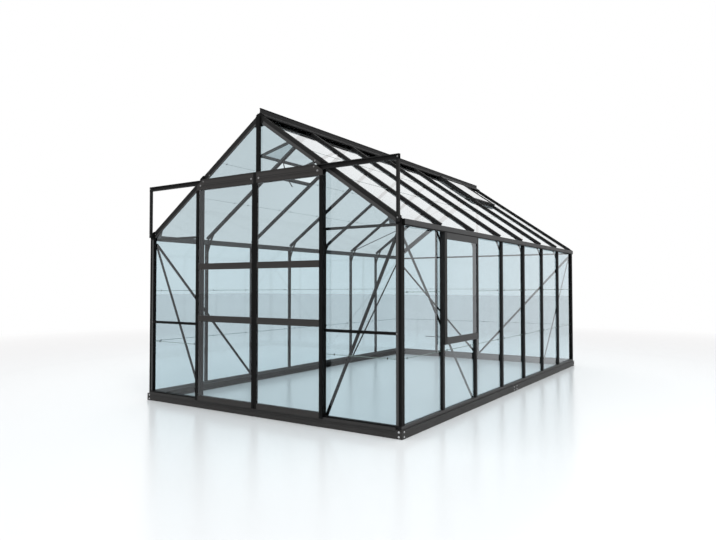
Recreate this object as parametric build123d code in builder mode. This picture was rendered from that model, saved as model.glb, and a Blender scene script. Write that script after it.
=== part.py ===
from build123d import *
from math import atan2, cos, degrees, hypot, radians, sin, tan
import os

# Aluminium greenhouse with glass panes, a steel plinth and two sliding doors. It is drawn about
# the middle of its plinth, and save() moves every piece by the same centre_shift.

os.makedirs("parts", exist_ok=True)

# ---------------------------------------------------------------- driving sizes (mm)
base_width = 2570.0          # plinth, outside, across the gable
base_length = 4470.0         # plinth, outside, along the ridge
base_height = 60.0
base_ledge = 60.0            # width of the plinth's top and bottom flanges
base_wall = 3.0
side_inset = 10.5            # plinth outside to the side walls' outer face
end_inset = 10.5             # plinth outside to the gables' outer face
side_bays = 7
gable_bays = 4
corner_line = 20.0           # corner's outer face to the first bar's centre line
gutter_underside = 1415.0
gutter_reach = 15.5          # how far the gutter stands out past the side wall
gutter_lip_height = 36.5
gutter_seat_height = 39.0    # inner web of the gutter, which carries the roof
gutter_skirt = 3.0           # strip below the gutter that holds the panes' top edges
roof_pitch = 35.0

# glazing bar section
cap_width = 28.0
cap_depth = 18.0             # how far the bars stand out past the glass
web_thickness = 4.0
bar_depth = 30.0
shoulder_width = 18.0
shoulder_depth = 2.5
foot_width = 12.0
foot_depth = 3.0
section_wall = 3.0           # sheet of the other rolled sections
front_bar_width = 36.0       # front of the door gable's bars

# corner post section
post_leg = 42.0

# glass
glass_thickness = 4.0
glass_cushion = 0.5          # soft strip between a pane and the metal each side
pane_edge_gap = 2.0          # pane edge to a bar's web
gable_pane_drop = 8.0        # verge cap's inner side to the gable panes' top edges
roof_glass_lap = 8.0         # past the gutter's inner web
roof_glass_ridge_gap = 3.0   # ridge web to the roof panes' top edges

# sill and rails
sill_height = 22.0
sill_depth = 38.0
mid_rail_height = 688.0      # centre of the gable's glazing rail
mid_rail_width = 20.0
eave_rail_low = 1405.0
eave_rail_width = 20.0

# verge bar
verge_drop = 27.0            # how far its flange hangs past the roof bars
verge_recess = 3.0           # its top lies this far below the roof bars' caps
verge_web_near = 12.5
verge_end_reach = 16.5       # side wall's outer face to the end of the roof bars
gable_cap_gap = 6.0          # roof's outer face to the gable bars' top ends

# ridge
ridge_overrun = 9.0          # verge's outer face to the ridge's end
ridge_web = 4.0
ridge_wing_lift = 5.0
ridge_wing_reach = 46.0
ridge_fin_top = 41.4         # above the roof's apex
ridge_bead_width = 12.0
ridge_bead_height = 5.0
ridge_foot_reach = 20.0

# doors
door_face = 34.0             # gable face to the doors' outer face
door_depth = 27.0
door_glass_setback = 3.0     # doors' outer face to their glass
door_gap = 5.2               # between the two leaves
leaf_width = 649.4
door_bottom = 66.0
door_bottom_rail = 42.0
door_lower_rail = 738.0
door_upper_rail = 1164.0
door_mid_rail_width = 50.0
door_stile = 30.0            # outer stile
door_meeting_stile = 24.0
door_meeting_depth = 18.0
door_stile_top = 1795.5
door_top_rail = 88.5
door_top_flange = 8.0        # from the doors' outer face
door_plate = 3.4
door_corner_cut = 52.0       # height of the slanted cut that follows the roof
track_low = 1842.5
track_height = 38.0
track_depth = 20.5
track_half_length = 1269.0
track_lip = 3.0
track_lip_depth = 2.0
wheel_diameter = 28.0
wheel_width = 10.0
wheel_back_gap = 1.0
wheel_seat_gap = 0.3
wheel_from_edge = 70.0
axle_diameter = 8.0
guide_height = 16.0
guide_thickness = 3.0
guide_groove = 14.0
guide_groove_height = 18.0
guide_half_length = 1240.0
strut_width = 20.0
strut_foot = 1430.0
strut_from_end = 2.0
door_head_height = 42.0
door_head_groove = 10.0

# side window, in the second bay of the right wall
window_bay = 1
window_low = 567.0
window_high = 1407.0
window_rail = 50.0
window_front_stile = 40.0
window_back_stile = 24.0
window_depth = 15.0
window_lap = 12.0            # past the centre lines of the bars beside it
window_seat_gap = 0.3
window_pane_gap = 4.0        # window's lower edge to the pane below it
window_surround_lap = 14.0   # how far the window laps over its surround

# roof vents
vent_length = 530.0
vent_depth = 16.0
vent_rail = 30.0
vent_lap = 12.0              # past the centre lines of the bars beside it
vent_top_start = 66.0        # ridge line to the top rail, along the slope
vent_lift_gap = 0.3
vent_open_angle = 21.0
vent_sill_width = 24.0
vent_sill_lap = 2.0          # vent's lower edge past the sill's
stay_width = 16.0
stay_thickness = 4.0
window_stay_length = 310.0
window_stay_lift = 26.0      # window's lower edge to the stay

# braces and knees
brace_width = 25.0
brace_thickness = 3.0
brace_top = 1375.0
brace_bottom = 73.0
side_brace_top_inset = 23.0  # corner's bar line to the brace's upper end
gable_brace_top_inset = 18.0
brace_foot_inset = 15.0      # bar line to the brace's lower end
knee_low = 1328.0
knee_band = 24.0
knee_reach = 54.0
knee_foot_band = 24.0
knee_sag = 4.0               # how far its edges curve towards the eave

# gussets
gusset_thickness = 3.0
apex_gusset_half = 60.0
apex_gusset_drop = 22.0      # height of its upright ends
eave_gusset_foot = 75.0
eave_gusset_spread = 30.0

cutter_reach = 200.0         # how far the cutting shapes run past the frame

# ---------------------------------------------------------------- places worked out
side_face = base_width / 2 - side_inset
end_face = base_length / 2 - end_inset
verge_face = end_face - cap_depth + section_wall
centre_shift = (door_face - end_inset) / 2
side_line = side_face - corner_line
end_line = end_face - corner_line
side_pitch = 2 * end_line / side_bays
gable_pitch = 2 * side_line / gable_bays
side_bar_lines = [-end_line + side_pitch * n for n in range(1, side_bays)]
gable_bar_lines = [-side_line + gable_pitch * n for n in range(1, gable_bays)]
jamb_line = gable_pitch
sill_top = base_height + sill_height
glass_near = cap_depth + glass_cushion
shoulder_near = glass_near + glass_thickness + glass_cushion
groove_depth = shoulder_near + section_wall
verge_flange = bar_depth + verge_drop
bar_top = gutter_underside - gutter_skirt
gutter_inner = side_face - bar_depth
gutter_end = end_face - shoulder_near
slope_sin = sin(radians(roof_pitch))
slope_cos = cos(radians(roof_pitch))
slope_tan = tan(radians(roof_pitch))
roof_apex = (
    gutter_underside + gutter_seat_height
    + shoulder_near / slope_cos
    + slope_tan * (gutter_inner + section_wall)
)
roof_end = side_face - verge_end_reach
pane_side = web_thickness / 2 + pane_edge_gap
post_pane_edge = groove_depth + pane_edge_gap
gusset_depth = bar_depth + section_wall


def slope_z(x, depth):
    """Height of the roof at x, at a depth square below its outer face."""
    return roof_apex - slope_tan * abs(x) - depth / slope_cos


# plane square to the right slope: local x runs along the ridge, local y outward
slope_plane = Plane(
    origin=(0, 0, roof_apex),
    x_dir=(0, 1, 0),
    z_dir=(slope_cos, 0, -slope_sin),
)


def rect_between(x0, y0, x1, y1, mode=Mode.ADD):
    """Rectangle from one corner to the other in the open sketch."""
    with Locations(((x0 + x1) / 2, (y0 + y1) / 2)):
        Rectangle(abs(x1 - x0), abs(y1 - y0), mode=mode)


def glazing_bar_section(line=0.0, inward=1):
    """T-shaped bar centred on x = line, its cap at y = 0 and its web toward inward * y."""
    with Locations((line, 0)):
        rect_between(-cap_width / 2, 0, cap_width / 2, inward * cap_depth)
        rect_between(-web_thickness / 2, 0, web_thickness / 2, inward * bar_depth)
        rect_between(
            -shoulder_width / 2, inward * shoulder_near,
            shoulder_width / 2, inward * (shoulder_near + shoulder_depth),
        )
        rect_between(
            -foot_width / 2, inward * (bar_depth - foot_depth),
            foot_width / 2, inward * bar_depth,
        )


def above_slope(depth, reach=base_length / 2):
    """Cut away what lies above the roof surface lowered by a depth, up to reach from the middle."""
    high = roof_apex + cutter_reach
    wide = side_face + cutter_reach
    with BuildSketch(Plane.XZ) as sky:
        with BuildLine():
            Polyline(
                (-wide, slope_z(wide, depth)), (0, slope_z(0, depth)),
                (wide, slope_z(wide, depth)), (wide, high), (-wide, high),
                close=True,
            )
        make_face()
    extrude(sky.sketch, amount=reach, both=True, mode=Mode.SUBTRACT)


def save(piece, name):
    """Label a finished piece, move it to the greenhouse's place and write it to its own file."""
    placed = piece.part.moved(Location((0, centre_shift, 0)))
    placed.label = name
    export_step(placed, "parts/" + name + ".step")


# ---------------------------------------------------------------- plinth
def plinth_section(outer):
    """Channel open to the inside, its web at x = outer."""
    rect_between(outer - base_ledge, 0, outer, base_height)
    rect_between(outer - base_ledge, base_wall, outer - base_wall, base_height - base_wall,
                 mode=Mode.SUBTRACT)


with BuildPart() as side_plinths:
    with BuildSketch(Plane.XZ):
        plinth_section(base_width / 2)
    extrude(amount=base_length / 2, both=True)
    with BuildSketch(Plane.XY):
        with BuildLine():
            Polyline(
                (base_width / 2, -base_length / 2), (base_width / 2, base_length / 2),
                (base_width / 2 - base_ledge, base_length / 2 - base_ledge),
                (base_width / 2 - base_ledge, -base_length / 2 + base_ledge),
                close=True,
            )
        make_face()
    extrude(amount=base_height, mode=Mode.INTERSECT)
    mirror(about=Plane.YZ)
save(side_plinths, "side_plinths")

with BuildPart() as gable_plinths:
    with BuildSketch(Plane.YZ):
        plinth_section(base_length / 2)
    extrude(amount=base_width / 2, both=True)
    with BuildSketch(Plane.XY):
        with BuildLine():
            Polyline(
                (-base_width / 2, base_length / 2), (base_width / 2, base_length / 2),
                (base_width / 2 - base_ledge, base_length / 2 - base_ledge),
                (-base_width / 2 + base_ledge, base_length / 2 - base_ledge),
                close=True,
            )
        make_face()
    extrude(amount=base_height, mode=Mode.INTERSECT)
    mirror(about=Plane.XZ)
save(gable_plinths, "gable_plinths")


# ---------------------------------------------------------------- sills
def sill_section(face):
    """Glazing sill on the ledge, its outer face at x = face."""
    rect_between(face - sill_depth, base_height, face, base_height + section_wall)
    rect_between(face - cap_depth, base_height, face, sill_top)
    rect_between(face - groove_depth, base_height, face - shoulder_near, sill_top)


with BuildPart() as side_sills:
    with BuildSketch(Plane.XZ):
        sill_section(side_face)
    extrude(amount=end_face, both=True)
    with BuildSketch(Plane.XY.offset(base_height)):
        with BuildLine():
            Polyline(
                (side_face, -end_face), (side_face, end_face),
                (side_face - sill_depth, end_face - sill_depth),
                (side_face - sill_depth, -end_face + sill_depth),
                close=True,
            )
        make_face()
    extrude(amount=sill_height, mode=Mode.INTERSECT)
    mirror(about=Plane.YZ)
save(side_sills, "side_sills")

with BuildPart() as gable_sills:
    with BuildSketch(Plane.YZ):
        sill_section(end_face)
    extrude(amount=side_face, both=True)
    with BuildSketch(Plane.XY.offset(base_height)):
        with BuildLine():
            Polyline(
                (-side_face, end_face), (side_face, end_face),
                (side_face - sill_depth, end_face - sill_depth),
                (-side_face + sill_depth, end_face - sill_depth),
                close=True,
            )
        make_face()
    extrude(amount=sill_height, mode=Mode.INTERSECT)
    mirror(about=Plane.XZ)
save(gable_sills, "gable_sills")

# ---------------------------------------------------------------- corner posts
with BuildPart() as corner_posts:
    with BuildSketch(Plane.XY.offset(sill_top)):
        x, y = side_face, end_face
        rect_between(x - post_leg, y - section_wall, x, y)
        rect_between(x - section_wall, y - post_leg, x, y)
        rect_between(x - post_leg, y - cap_depth, x - post_leg + section_wall, y)
        rect_between(x - cap_depth, y - post_leg, x, y - post_leg + section_wall)
        rect_between(x - post_leg, y - groove_depth, x, y - shoulder_near)
        rect_between(x - groove_depth, y - post_leg, x - shoulder_near, y)
        rect_between(x - post_leg, y - bar_depth, x - post_leg + section_wall, y - shoulder_near)
        rect_between(x - bar_depth, y - post_leg, x - shoulder_near, y - post_leg + section_wall)
    extrude(amount=bar_top - sill_top)
    with BuildSketch(Plane.XY.offset(bar_top)):
        rect_between(side_face - post_leg, verge_face, side_face, end_face)
    extrude(amount=roof_apex - bar_top)
    above_slope(gable_cap_gap)
    mirror(about=Plane.YZ)
    mirror(about=Plane.XZ)
save(corner_posts, "corner_posts")

# ---------------------------------------------------------------- side glazing bars
side_section_plane = Plane(origin=(side_face, 0, sill_top), x_dir=(0, 1, 0), z_dir=(0, 0, 1))

with BuildPart() as side_bars_right:
    with BuildSketch(side_section_plane):
        for line in side_bar_lines:
            glazing_bar_section(line)
    extrude(amount=bar_top - sill_top)
save(side_bars_right, "side_bars_right")

with BuildPart() as side_bars_left:
    mirror(side_bars_right.part, about=Plane.YZ)
save(side_bars_left, "side_bars_left")

# ---------------------------------------------------------------- gutters
with BuildPart() as gutters:
    outer = side_face + gutter_reach
    low = gutter_underside
    lip_top = low + gutter_lip_height
    seat_top = low + gutter_seat_height
    with BuildSketch(Plane.XZ):
        rect_between(gutter_inner, low, outer, low + section_wall)
        rect_between(outer - section_wall, low, outer, lip_top)
        rect_between(gutter_inner, low, gutter_inner + section_wall, seat_top)
        rect_between(side_face - cap_depth, bar_top, side_face, low)
        rect_between(side_face - groove_depth, bar_top, side_face - shoulder_near, low)
    extrude(amount=gutter_end, both=True)
    with BuildSketch(Plane.XZ.offset(gutter_end - section_wall)):
        rect_between(gutter_inner, low, outer, lip_top)
    extrude(amount=section_wall)
    with BuildSketch(Plane.XZ.offset(-gutter_end)):
        rect_between(gutter_inner, low, outer, lip_top)
    extrude(amount=section_wall)
    mirror(about=Plane.YZ)
save(gutters, "gutters")

# ---------------------------------------------------------------- roof bars
bar_overrun = roof_end / slope_cos


def trim_roof_ends(half_length):
    """Cut the bars upright at the ridge web and clear of the gutter's inner web."""
    far = side_face + cutter_reach
    low = gutter_underside - cutter_reach
    with BuildSketch(Plane.XZ) as ends:
        rect_between(-side_face, low, ridge_web / 2, roof_apex + cutter_reach)
        with BuildLine():
            Polyline(
                (gutter_inner, low), (gutter_inner, slope_z(gutter_inner, cap_depth)),
                (far, slope_z(far, cap_depth)), (far, low),
                close=True,
            )
        make_face()
    extrude(ends.sketch, amount=half_length, both=True, mode=Mode.SUBTRACT)


with BuildPart() as roof_bars_right:
    with BuildSketch(slope_plane):
        for line in side_bar_lines:
            glazing_bar_section(line, inward=-1)
    extrude(amount=bar_overrun)
    trim_roof_ends(end_face)
save(roof_bars_right, "roof_bars_right")

with BuildPart() as roof_bars_left:
    mirror(roof_bars_right.part, about=Plane.YZ)
save(roof_bars_left, "roof_bars_left")

# ---------------------------------------------------------------- verge bars
with BuildPart() as verge_bars:
    start = -verge_face
    web = start + verge_web_near
    with BuildSketch(slope_plane):
        rect_between(start, -verge_recess, start + cap_width, -cap_depth)
        rect_between(web, 0, web + section_wall, -bar_depth)
        rect_between(web, -shoulder_near, web + shoulder_width / 2 + section_wall, -groove_depth)
        rect_between(-gutter_end, -bar_depth + section_wall, web, -bar_depth)
    extrude(amount=bar_overrun)
    trim_roof_ends(end_face)
    with BuildSketch(slope_plane):
        rect_between(start, -verge_recess, start + section_wall, -verge_flange)
    extrude(amount=bar_overrun)
    with BuildSketch(Plane.XZ):
        rect_between(-side_face, roof_apex - cutter_reach, ridge_web / 2, roof_apex + cutter_reach)
    extrude(amount=end_face, both=True, mode=Mode.SUBTRACT)
    mirror(about=Plane.XZ)
    mirror(about=Plane.YZ)
save(verge_bars, "verge_bars")

# ---------------------------------------------------------------- ridge
with BuildPart() as ridge:
    wing = ridge_wing_reach
    wing_top = ridge_wing_lift + section_wall
    foot_low = bar_depth + section_wall
    with BuildSketch(Plane.XZ):
        with BuildLine():
            Polyline(
                (0, slope_z(0, -wing_top)), (wing, slope_z(wing, -wing_top)),
                (wing, slope_z(wing, 0)), (wing - section_wall, slope_z(wing - section_wall, 0)),
                (wing - section_wall, slope_z(wing - section_wall, -ridge_wing_lift)),
                (0, slope_z(0, -ridge_wing_lift)),
                close=True,
            )
        make_face()
        with BuildLine():
            Polyline(
                (0, slope_z(0, bar_depth)), (ridge_foot_reach, slope_z(ridge_foot_reach, bar_depth)),
                (ridge_foot_reach, slope_z(ridge_foot_reach, foot_low)), (0, slope_z(0, foot_low)),
                close=True,
            )
        make_face()
        rect_between(0, slope_z(0, foot_low), ridge_web / 2, roof_apex + ridge_fin_top)
        rect_between(
            0, roof_apex + ridge_fin_top - ridge_bead_height,
            ridge_bead_width / 2, roof_apex + ridge_fin_top,
        )
        mirror(about=Plane.YZ)
    extrude(amount=verge_face - ridge_overrun, both=True)
save(ridge, "ridge")

# ---------------------------------------------------------------- gable bars
with BuildPart() as front_gable_bars:
    with BuildSketch(Plane(origin=(0, -end_face, sill_top))):
        for line in (-jamb_line, jamb_line):
            glazing_bar_section(line)
            rect_between(line - front_bar_width / 2, 0, line + front_bar_width / 2, cap_depth)
    extrude(amount=roof_apex - sill_top)
    door_head_top = track_low + door_head_height
    with BuildSketch(Plane(origin=(0, -end_face, door_head_top))):
        glazing_bar_section()
        rect_between(-front_bar_width / 2, 0, front_bar_width / 2, cap_depth)
    extrude(amount=roof_apex - door_head_top)
    above_slope(gable_cap_gap)
    above_slope(verge_flange, verge_face)
save(front_gable_bars, "front_gable_bars")

with BuildPart() as back_gable_bars:
    with BuildSketch(Plane(origin=(0, end_face, sill_top))):
        for line in gable_bar_lines:
            glazing_bar_section(line, inward=-1)
    extrude(amount=roof_apex - sill_top)
    above_slope(gable_cap_gap)
    above_slope(verge_flange, verge_face)
save(back_gable_bars, "back_gable_bars")

# ---------------------------------------------------------------- door head, track, struts, guide
head_half = jamb_line - front_bar_width / 2
with BuildPart() as door_head:
    y = -end_face
    groove_floor = door_head_top - door_head_groove
    with BuildSketch(Plane.YZ.offset(-head_half)):
        rect_between(y, track_low, y + section_wall, groove_floor)
        rect_between(y, groove_floor - section_wall, y + bar_depth, groove_floor)
        rect_between(y + cap_depth - section_wall, groove_floor, y + cap_depth, door_head_top)
        rect_between(y + shoulder_near, groove_floor, y + groove_depth, door_head_top)
        rect_between(y, track_low, y + bar_depth, track_low + section_wall)
        rect_between(y + bar_depth - section_wall, track_low, y + bar_depth, groove_floor)
    extrude(amount=2 * head_half)
    above_slope(verge_flange)
save(door_head, "door_head")

with BuildPart() as door_track:
    back = -end_face
    front = back - track_depth
    top = track_low + track_height
    with BuildSketch(Plane.YZ.offset(-track_half_length)):
        rect_between(front, track_low, back, top)
        rect_between(front, track_low + section_wall, back - section_wall, top - section_wall,
                     mode=Mode.SUBTRACT)
        rect_between(front, track_low, front + track_lip_depth, track_low + section_wall + track_lip)
        rect_between(front, top - section_wall - track_lip, front + track_lip_depth, top)
    extrude(amount=2 * track_half_length)
save(door_track, "door_track")

with BuildPart() as track_struts:
    strut_edge = track_half_length - strut_from_end
    with BuildSketch(Plane.XZ.offset(end_face)):
        rect_between(strut_edge - strut_width, strut_foot, strut_edge, track_low)
        rect_between(-strut_edge, strut_foot, -strut_edge + strut_width, track_low)
    extrude(amount=track_depth)
save(track_struts, "track_struts")

with BuildPart() as door_guide:
    guide_y = -end_face - door_face + door_depth / 2
    guide_front = guide_y - guide_thickness / 2
    guide_low = base_height - guide_thickness
    with BuildSketch(Plane.YZ.offset(-guide_half_length)):
        rect_between(guide_front, guide_low, guide_front + guide_thickness, base_height + guide_height)
        rect_between(guide_front, guide_low, -base_length / 2, base_height)
    extrude(amount=2 * guide_half_length)
save(door_guide, "door_guide")

# ---------------------------------------------------------------- rails across the gables
with BuildPart() as gable_eave_rails:
    high = eave_rail_low + eave_rail_width
    with BuildSketch(Plane.XZ.offset(end_face - bar_depth)):
        rect_between(jamb_line + foot_width / 2, eave_rail_low, side_face - post_leg, high)
        mirror(about=Plane.YZ)
    extrude(amount=bar_depth - groove_depth)
    mirror(about=Plane.XZ)
    with BuildSketch(Plane.XZ.offset(groove_depth - end_face)):
        rect_between(foot_width / 2, eave_rail_low, jamb_line - foot_width / 2, high)
        mirror(about=Plane.YZ)
    extrude(amount=bar_depth - groove_depth)
save(gable_eave_rails, "gable_eave_rails")

with BuildPart() as gable_mid_rails:
    rail_start = jamb_line + front_bar_width / 2
    with BuildSketch(Plane.YZ.offset(rail_start)):
        y = -end_face
        low = mid_rail_height - mid_rail_width / 2
        high = mid_rail_height + mid_rail_width / 2
        rect_between(y, low, y + cap_depth, high)
        rect_between(y + shoulder_near, low, y + groove_depth, high)
        rect_between(y, mid_rail_height - section_wall / 2, y + groove_depth,
                     mid_rail_height + section_wall / 2)
    extrude(amount=side_face - post_leg - rail_start)
    mirror(about=Plane.YZ)
save(gable_mid_rails, "gable_mid_rails")


# ---------------------------------------------------------------- braces
def strip(x0, y0, x1, y1, width):
    """Flat strip from one point to another in the open sketch."""
    turn = degrees(atan2(y1 - y0, x1 - x0))
    with Locations(Location(((x0 + x1) / 2, (y0 + y1) / 2, 0), (0, 0, turn))):
        Rectangle(hypot(x1 - x0, y1 - y0), width)


with BuildPart() as side_braces:
    top_y = end_line - side_brace_top_inset
    foot_y = side_bar_lines[-2] + brace_foot_inset
    with BuildSketch(Plane.YZ.offset(gutter_inner - brace_thickness)):
        strip(-top_y, brace_top, -foot_y, brace_bottom, brace_width)
        strip(top_y, brace_top, foot_y, brace_bottom, brace_width)
    extrude(amount=brace_thickness)
    mirror(about=Plane.YZ)
save(side_braces, "side_braces")

with BuildPart() as gable_braces:
    inner_y = end_face - bar_depth
    top_x = side_line - gable_brace_top_inset
    front_foot_x = jamb_line + brace_foot_inset
    with BuildSketch(Plane.XZ.offset(inner_y - brace_thickness)):
        strip(top_x, brace_top, front_foot_x, brace_bottom, brace_width)
        strip(-top_x, brace_top, -front_foot_x, brace_bottom, brace_width)
    extrude(amount=brace_thickness)
    with BuildSketch(Plane.XZ.offset(-inner_y)):
        strip(top_x, brace_top, brace_foot_inset, brace_bottom, brace_width)
        strip(-top_x, brace_top, -brace_foot_inset, brace_bottom, brace_width)
    extrude(amount=brace_thickness)
save(gable_braces, "gable_braces")

with BuildPart() as eave_knees:
    x0 = gutter_inner
    x1 = x0 - knee_reach
    x2 = x1 - knee_foot_band
    z1 = slope_z(x1, bar_depth)
    z2 = slope_z(x2, bar_depth)
    knee_high = knee_low + knee_band
    outer_bend = ((x0 + x1) / 2 + knee_sag, (knee_high + z1) / 2 + knee_sag)
    inner_bend = ((x0 + x2) / 2 + knee_sag, (knee_low + z2) / 2 + knee_sag)
    for line in side_bar_lines:
        with BuildSketch(Plane.XZ.offset(-line - foot_width / 2)):
            with BuildLine():
                Line((x0, knee_low), (x0, knee_high))
                ThreePointArc((x0, knee_high), outer_bend, (x1, z1))
                Line((x1, z1), (x2, z2))
                ThreePointArc((x2, z2), inner_bend, (x0, knee_low))
            make_face()
        extrude(amount=foot_width)
    mirror(about=Plane.YZ)
save(eave_knees, "eave_knees")

# ---------------------------------------------------------------- gussets
with BuildPart() as apex_gussets:
    half = apex_gusset_half
    with BuildSketch(Plane.XZ.offset(inner_y - gusset_thickness)):
        with BuildLine():
            Polyline(
                (-half, slope_z(half, gusset_depth)), (0, slope_z(0, gusset_depth)),
                (half, slope_z(half, gusset_depth)), (half, slope_z(half, gusset_depth) - apex_gusset_drop),
                (-half, slope_z(half, gusset_depth) - apex_gusset_drop),
                close=True,
            )
        make_face()
    extrude(amount=gusset_thickness)
    mirror(about=Plane.XZ)
save(apex_gussets, "apex_gussets")

with BuildPart() as eave_gussets:
    rail_top = eave_rail_low + eave_rail_width
    foot_x = gutter_inner - eave_gusset_foot
    tip_x = foot_x - eave_gusset_spread
    with BuildSketch(Plane.XZ.offset(inner_y)):
        with BuildLine():
            Polyline(
                (gutter_inner, rail_top), (foot_x, rail_top), (tip_x, slope_z(tip_x, gusset_depth)),
                (gutter_inner, slope_z(gutter_inner, gusset_depth)),
                close=True,
            )
        make_face()
    extrude(amount=gusset_thickness)
    mirror(about=Plane.YZ)
    mirror(about=Plane.XZ)
save(eave_gussets, "eave_gussets")


# ---------------------------------------------------------------- wall and roof glass
side_edges = [-end_face + post_pane_edge] + [
    edge for line in side_bar_lines for edge in (line - pane_side, line + pane_side)
] + [end_face - post_pane_edge]
side_panes = list(zip(side_edges[0::2], side_edges[1::2]))
pane_low = base_height + section_wall + glass_cushion
pane_high = gutter_underside - glass_cushion
window_sill_low = window_low - window_pane_gap

with BuildPart() as left_wall_glass:
    with BuildSketch(Plane.YZ.offset(-side_face + glass_near)):
        for low_y, high_y in side_panes:
            rect_between(low_y, pane_low, high_y, pane_high)
    extrude(amount=glass_thickness)
save(left_wall_glass, "left_wall_glass")

with BuildPart() as right_wall_glass:
    with BuildSketch(Plane.YZ.offset(side_face - glass_near - glass_thickness)):
        for bay, (low_y, high_y) in enumerate(side_panes):
            if bay == window_bay:
                rect_between(low_y, pane_low, high_y, window_sill_low)
            else:
                rect_between(low_y, pane_low, high_y, pane_high)
    extrude(amount=glass_thickness)
save(right_wall_glass, "right_wall_glass")

roof_edge = verge_face - verge_web_near - section_wall - pane_edge_gap
roof_edges = [-roof_edge] + side_edges[1:-1] + [roof_edge]
roof_panes = list(zip(roof_edges[0::2], roof_edges[1::2]))
pane_lean = shoulder_near * slope_sin
roof_glass_end = (gutter_inner + section_wall + roof_glass_lap + pane_lean) / slope_cos
roof_glass_start = (ridge_web / 2 + roof_glass_ridge_gap + pane_lean) / slope_cos
vent_end = vent_top_start + vent_length


def roof_glass(vent_bays):
    """Roof panes as seen square to the slope, cut short below each vent."""
    for bay, (low_y, high_y) in enumerate(roof_panes):
        start = vent_end if bay in vent_bays else roof_glass_start
        rect_between(low_y, -start, high_y, -roof_glass_end)


# local x along the ridge, local y up the slope
slope_face_right = Plane(
    origin=(0, 0, roof_apex), x_dir=(0, 1, 0),
    z_dir=(slope_sin, 0, slope_cos),
)
vent_bays_right = [5]
vent_bays_left = [1]

with BuildPart() as roof_glass_right:
    with BuildSketch(slope_face_right.offset(-glass_near - glass_thickness)):
        roof_glass(vent_bays_right)
    extrude(amount=glass_thickness)
save(roof_glass_right, "roof_glass_right")

with BuildPart() as roof_glass_left_mirrored:
    with BuildSketch(slope_face_right.offset(-glass_near - glass_thickness)):
        roof_glass(vent_bays_left)
    extrude(amount=glass_thickness)
with BuildPart() as roof_glass_left:
    mirror(roof_glass_left_mirrored.part, about=Plane.YZ)
save(roof_glass_left, "roof_glass_left")

gable_pane_top = cap_depth + gable_pane_drop
with BuildPart() as front_gable_glass:
    y = end_face - glass_near - glass_thickness
    outer_low = jamb_line + pane_side
    outer_high = side_face - post_pane_edge
    rail_half = section_wall / 2 + glass_cushion
    with BuildSketch(Plane.XZ.offset(y)):
        rect_between(outer_low, pane_low, outer_high, mid_rail_height - rail_half)
        rect_between(outer_low, mid_rail_height + rail_half, outer_high, roof_apex)
        rect_between(pane_side, groove_floor + glass_cushion, jamb_line - pane_side, roof_apex)
    extrude(amount=glass_thickness)
    mirror(about=Plane.YZ)
    above_slope(gable_pane_top)
save(front_gable_glass, "front_gable_glass")

with BuildPart() as back_gable_glass:
    with BuildSketch(Plane.XZ.offset(-y - glass_thickness)):
        rect_between(outer_low, pane_low, outer_high, roof_apex)
        rect_between(pane_side, pane_low, jamb_line - pane_side, roof_apex)
    extrude(amount=glass_thickness)
    mirror(about=Plane.YZ)
    above_slope(gable_pane_top)
save(back_gable_glass, "back_gable_glass")

# ---------------------------------------------------------------- side window
window_start = side_bar_lines[window_bay - 1] - window_lap
window_finish = side_bar_lines[window_bay] + window_lap
window_x = side_face + window_seat_gap

with BuildPart() as side_window_stiles:
    with BuildSketch(Plane.YZ.offset(window_x)):
        rect_between(window_start, window_low, window_start + window_front_stile, window_high)
        rect_between(window_finish - window_back_stile, window_low, window_finish, window_high)
    extrude(amount=window_depth)
save(side_window_stiles, "side_window_stiles")

with BuildPart() as side_window_rails:
    with BuildSketch(Plane.YZ.offset(window_x)):
        low_y = window_start + window_front_stile
        high_y = window_finish - window_back_stile
        rect_between(low_y, window_low, high_y, window_low + window_rail)
        rect_between(low_y, window_high - window_rail, high_y, window_high)
    extrude(amount=window_depth)
save(side_window_rails, "side_window_rails")

with BuildPart() as side_window_glass:
    with BuildSketch(Plane.YZ.offset(window_x + window_depth / 2 - glass_thickness / 2)):
        rect_between(
            low_y + glass_cushion, window_low + window_rail + glass_cushion,
            high_y - glass_cushion, window_high - window_rail - glass_cushion,
        )
    extrude(amount=glass_thickness)
save(side_window_glass, "side_window_glass")

with BuildPart() as side_window_surround:
    bay_low = side_bar_lines[window_bay - 1] + cap_width / 2
    bay_high = side_bar_lines[window_bay] - cap_width / 2
    with BuildSketch(Plane.YZ.offset(side_face - groove_depth)):
        rect_between(bay_low, window_sill_low, bay_high, window_low + window_surround_lap)
        rect_between(bay_low, window_high - window_surround_lap, bay_high, bar_top)
    extrude(amount=groove_depth)
save(side_window_surround, "side_window_surround")


# ---------------------------------------------------------------- side window stay
with BuildPart() as side_window_stay:
    stay_y = (side_bar_lines[window_bay - 1] + side_bar_lines[window_bay]) / 2
    with BuildSketch(Plane.XZ.offset(-stay_y - stay_width / 2)):
        rect_between(
            window_x - window_stay_length, window_low + window_stay_lift,
            window_x, window_low + window_stay_lift + stay_thickness,
        )
    extrude(amount=stay_width)
save(side_window_stay, "side_window_stay")


# ---------------------------------------------------------------- roof vents
def vent_edges(bay):
    """First and last edge of the vent over a bay, along the ridge."""
    return side_bar_lines[bay - 1] - vent_lap, side_bar_lines[bay] + vent_lap


def slope_point(along, outward):
    """Point of the right slope from its distance down the slope and out of it."""
    return (along * slope_cos + outward * slope_sin, roof_apex - along * slope_sin + outward * slope_cos)


vent_hinge_height = vent_depth + vent_lift_gap
closed_bay = vent_bays_right[0]
open_bay = vent_bays_left[0]
hinge_x, hinge_z = slope_point(vent_top_start, vent_depth + vent_lift_gap)
hinge_axis = Axis((hinge_x, 0, hinge_z), (0, 1, 0))


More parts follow.
